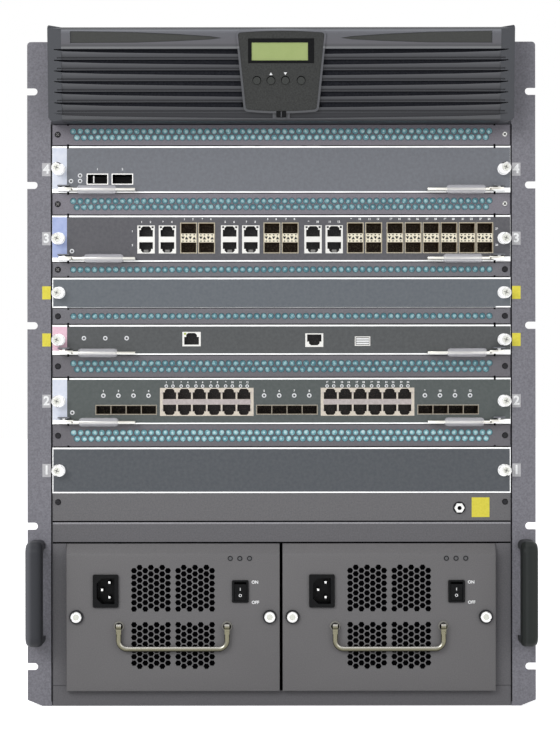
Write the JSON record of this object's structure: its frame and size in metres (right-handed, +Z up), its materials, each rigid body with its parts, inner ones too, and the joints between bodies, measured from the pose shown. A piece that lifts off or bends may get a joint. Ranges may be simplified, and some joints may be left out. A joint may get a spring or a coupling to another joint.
{
  "type": "modular chassis switch",
  "caption": "Rack chassis with removable line cards, a control card, blank panels, louvred bezel with a display and twin power units.",
  "frame": {"origin": "middle of the width at the base, in the plane of the rack ears' rear faces", "axes": "+X right seen from the front, +Y back into the rack, +Z up"},
  "size_m": [0.4826, 0.5082, 0.6412],
  "materials": {
    "chassis_paint": "fine textured powder coat",
    "inner_steel": "zinc plated sheet",
    "circuit_board": "glass fibre board, green mask",
    "grip_plastic": "smooth moulded nylon",
    "baffle_paint": "fine textured powder coat",
    "bezel_plastic": "satin moulded plastic",
    "panel_plastic": "dark printed overlay",
    "display": "green display behind a clear window",
    "button_plastic": "grey moulded",
    "jack_metal": "nickel plated",
    "card_paint": "satin overlay on bare aluminium",
    "port_shell": "nickel plated shells",
    "optic_cage": "gold tinged nickel",
    "lever_steel": "bright plated",
    "unit_paint": "fine textured powder coat",
    "black_plastic": "moulded",
    "rocker_plastic": "moulded",
    "bail_metal": "bright plated rod",
    "fan_plastic": "moulded"
  },
  "bodies": {
    "chassis": {"chassis_wrap": "chassis_paint", "top_cover": "chassis_paint", "rear_panel": "chassis_paint", "middle_shelf": "inner_steel", "backplane": "circuit_board", "left_rack_ear": "chassis_paint", "right_rack_ear": "chassis_paint", "left_grip": "grip_plastic", "right_grip": "grip_plastic", "air_baffles": "baffle_paint", "lower_strip": "baffle_paint", "bay_frame": "chassis_paint", "esd_jack": "jack_metal", "front_bezel": "bezel_plastic", "control_panel": "panel_plastic", "lcd_display": "display", "blank_panel_upper": "card_paint", "blank_panel_lower": "card_paint", "fan_tray": "inner_steel"},
    "menu_button_1": {"menu_button_1": "button_plastic"},
    "menu_button_2": {"menu_button_2": "button_plastic"},
    "menu_button_3": {"menu_button_3": "button_plastic"},
    "menu_button_4": {"menu_button_4": "button_plastic"},
    "card_4": {"card_4_faceplate": "card_paint", "card_4_board": "circuit_board", "card_4_xfp_cages": "optic_cage"},
    "card_4_left_lever": {"card_4_left_lever": "lever_steel"},
    "card_4_right_lever": {"card_4_right_lever": "lever_steel"},
    "card_3": {"card_3_faceplate": "card_paint", "card_3_board": "circuit_board", "card_3_jacks": "port_shell", "card_3_cages": "optic_cage"},
    "card_3_left_lever": {"card_3_left_lever": "lever_steel"},
    "card_3_right_lever": {"card_3_right_lever": "lever_steel"},
    "control_card": {"control_card_faceplate": "card_paint", "control_card_board": "circuit_board", "control_card_jacks": "port_shell"},
    "control_card_left_lever": {"control_card_left_lever": "lever_steel"},
    "control_card_right_lever": {"control_card_right_lever": "lever_steel"},
    "card_2": {"card_2_faceplate": "card_paint", "card_2_board": "circuit_board", "card_2_jacks": "port_shell", "card_2_cages": "optic_cage"},
    "card_2_left_lever": {"card_2_left_lever": "lever_steel"},
    "card_2_right_lever": {"card_2_right_lever": "lever_steel"},
    "power_unit_1": {"power_unit_1_case": "inner_steel", "power_unit_1_faceplate": "unit_paint", "power_unit_1_inlet": "black_plastic", "power_unit_1_switch_frame": "black_plastic"},
    "power_unit_1_rocker": {"power_unit_1_rocker": "rocker_plastic"},
    "power_unit_1_bail": {"power_unit_1_bail": "bail_metal"},
    "power_unit_1_fan": {"power_unit_1_fan": "fan_plastic"},
    "power_unit_2": {"power_unit_2_case": "inner_steel", "power_unit_2_faceplate": "unit_paint", "power_unit_2_inlet": "black_plastic", "power_unit_2_switch_frame": "black_plastic"},
    "power_unit_2_rocker": {"power_unit_2_rocker": "rocker_plastic"},
    "power_unit_2_bail": {"power_unit_2_bail": "bail_metal"},
    "power_unit_2_fan": {"power_unit_2_fan": "fan_plastic"}
  },
  "joints": [
    {"name": "menu_button_1_press", "type": "slide", "parent": "chassis", "child": "menu_button_1", "axis": [0, 0.9921, 0.1257], "range_m": [0, 0.0012], "stiffness_N_per_m": 600, "springref_m": -0.0004},
    {"name": "menu_button_2_press", "type": "slide", "parent": "chassis", "child": "menu_button_2", "axis": [0, 0.9921, 0.1257], "range_m": [0, 0.0012], "stiffness_N_per_m": 600, "springref_m": -0.0004},
    {"name": "menu_button_3_press", "type": "slide", "parent": "chassis", "child": "menu_button_3", "axis": [0, 0.9921, 0.1257], "range_m": [0, 0.0012], "stiffness_N_per_m": 600, "springref_m": -0.0004},
    {"name": "menu_button_4_press", "type": "slide", "parent": "chassis", "child": "menu_button_4", "axis": [0, 0.9921, 0.1257], "range_m": [0, 0.0012], "stiffness_N_per_m": 600, "springref_m": -0.0004},
    {"name": "card_4_slide", "type": "slide", "parent": "chassis", "child": "card_4", "axis": [0, -1, 0], "range_m": [0, 0.345]},
    {"name": "card_4_left_lever_swing", "type": "hinge", "parent": "card_4", "child": "card_4_left_lever", "pos_m": [-0.2062, -0.0086, 0.4912], "axis": [0, 0, -1], "range_deg": [0, 75]},
    {"name": "card_4_right_lever_swing", "type": "hinge", "parent": "card_4", "child": "card_4_right_lever", "pos_m": [0.2062, -0.0086, 0.4912], "axis": [0, 0, 1], "range_deg": [0, 75]},
    {"name": "card_3_slide", "type": "slide", "parent": "chassis", "child": "card_3", "axis": [0, -1, 0], "range_m": [0, 0.345]},
    {"name": "card_3_left_lever_swing", "type": "hinge", "parent": "card_3", "child": "card_3_left_lever", "pos_m": [-0.2062, -0.0086, 0.4258], "axis": [0, 0, -1], "range_deg": [0, 75]},
    {"name": "card_3_right_lever_swing", "type": "hinge", "parent": "card_3", "child": "card_3_right_lever", "pos_m": [0.2062, -0.0086, 0.4258], "axis": [0, 0, 1], "range_deg": [0, 75]},
    {"name": "control_card_slide", "type": "slide", "parent": "chassis", "child": "control_card", "axis": [0, -1, 0], "range_m": [0, 0.345]},
    {"name": "control_card_left_lever_swing", "type": "hinge", "parent": "control_card", "child": "control_card_left_lever", "pos_m": [-0.2062, -0.0086, 0.3373], "axis": [0, 0, -1], "range_deg": [0, 75]},
    {"name": "control_card_right_lever_swing", "type": "hinge", "parent": "control_card", "child": "control_card_right_lever", "pos_m": [0.2062, -0.0086, 0.3373], "axis": [0, 0, 1], "range_deg": [0, 75]},
    {"name": "card_2_slide", "type": "slide", "parent": "chassis", "child": "card_2", "axis": [0, -1, 0], "range_m": [0, 0.345]},
    {"name": "card_2_left_lever_swing", "type": "hinge", "parent": "card_2", "child": "card_2_left_lever", "pos_m": [-0.2062, -0.0086, 0.2715], "axis": [0, 0, -1], "range_deg": [0, 75]},
    {"name": "card_2_right_lever_swing", "type": "hinge", "parent": "card_2", "child": "card_2_right_lever", "pos_m": [0.2062, -0.0086, 0.2715], "axis": [0, 0, 1], "range_deg": [0, 75]},
    {"name": "power_unit_1_slide", "type": "slide", "parent": "chassis", "child": "power_unit_1", "axis": [0, -1, 0], "range_m": [0, 0.34]},
    {"name": "power_unit_1_rocker_tilt", "type": "hinge", "parent": "power_unit_1", "child": "power_unit_1_rocker", "pos_m": [-0.0392, -0.007, 0.1094], "axis": [-1, 0, 0], "range_deg": [0, 20]},
    {"name": "power_unit_1_bail_swing", "type": "hinge", "parent": "power_unit_1", "child": "power_unit_1_bail", "pos_m": [-0.1029, -0.0142, 0.0763], "axis": [-1, 0, 0], "range_deg": [0, 90]},
    {"name": "power_unit_1_fan_spin", "type": "hinge", "parent": "power_unit_1", "child": "power_unit_1_fan", "pos_m": [-0.1029, 0.026, 0.0835], "axis": [0, 1, 0], "continuous": true},
    {"name": "power_unit_2_slide", "type": "slide", "parent": "chassis", "child": "power_unit_2", "axis": [0, -1, 0], "range_m": [0, 0.34]},
    {"name": "power_unit_2_rocker_tilt", "type": "hinge", "parent": "power_unit_2", "child": "power_unit_2_rocker", "pos_m": [0.16545, -0.007, 0.1094], "axis": [-1, 0, 0], "range_deg": [0, 20]},
    {"name": "power_unit_2_bail_swing", "type": "hinge", "parent": "power_unit_2", "child": "power_unit_2_bail", "pos_m": [0.10175, -0.0142, 0.0763], "axis": [-1, 0, 0], "range_deg": [0, 90]},
    {"name": "power_unit_2_fan_spin", "type": "hinge", "parent": "power_unit_2", "child": "power_unit_2_fan", "pos_m": [0.10175, 0.026, 0.0835], "axis": [0, 1, 0], "continuous": true}
  ]
}
